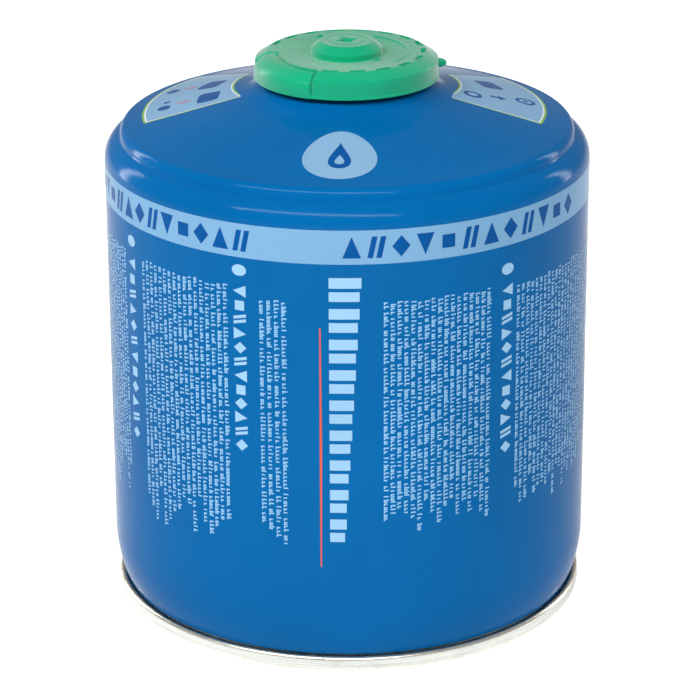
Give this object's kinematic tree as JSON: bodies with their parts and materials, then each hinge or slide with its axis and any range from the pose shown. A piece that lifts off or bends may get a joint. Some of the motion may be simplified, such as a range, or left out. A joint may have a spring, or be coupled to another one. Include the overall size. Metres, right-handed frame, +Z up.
{
  "type": "fuel canister",
  "caption": "Round valved fuel canister: painted steel can with stepped shoulder and shallow dome, seamed metal base, lift-off plastic cap over a spring-loaded valve.",
  "frame": {"origin": "centre of the flat ring that the can stands on, at the level of the surface it stands on", "axes": "+Z up along the can's axis, -Y towards the side that the picture shows"},
  "size_m": [0.11, 0.11, 0.1305],
  "materials": {
    "blue_paint": "gloss",
    "tinplate": "satin",
    "cup_steel": "satin",
    "seal_rubber": "matte",
    "white_plastic": "matte",
    "spring_steel": "satin",
    "green_plastic": "satin"
  },
  "bodies": {
    "can": {"can_body": "blue_paint", "bottom_end": "tinplate", "valve_cup": "cup_steel", "cup_gasket": "seal_rubber", "valve_housing": "white_plastic", "stem_gasket": "seal_rubber", "valve_spring": "spring_steel"},
    "stem": {"valve_stem": "white_plastic"},
    "lid": {"cap": "green_plastic"}
  },
  "joints": [
    {"name": "cap_lift", "type": "slide", "parent": "can", "child": "lid", "axis": [0, 0, 1], "range_m": [0, 0.03]},
    {"name": "valve_press", "type": "slide", "parent": "can", "child": "stem", "axis": [0, 0, -1], "range_m": [0, 0.002], "stiffness_N_per_m": 1200, "springref_m": -0.004, "deforming": ["valve_spring"]}
  ]
}
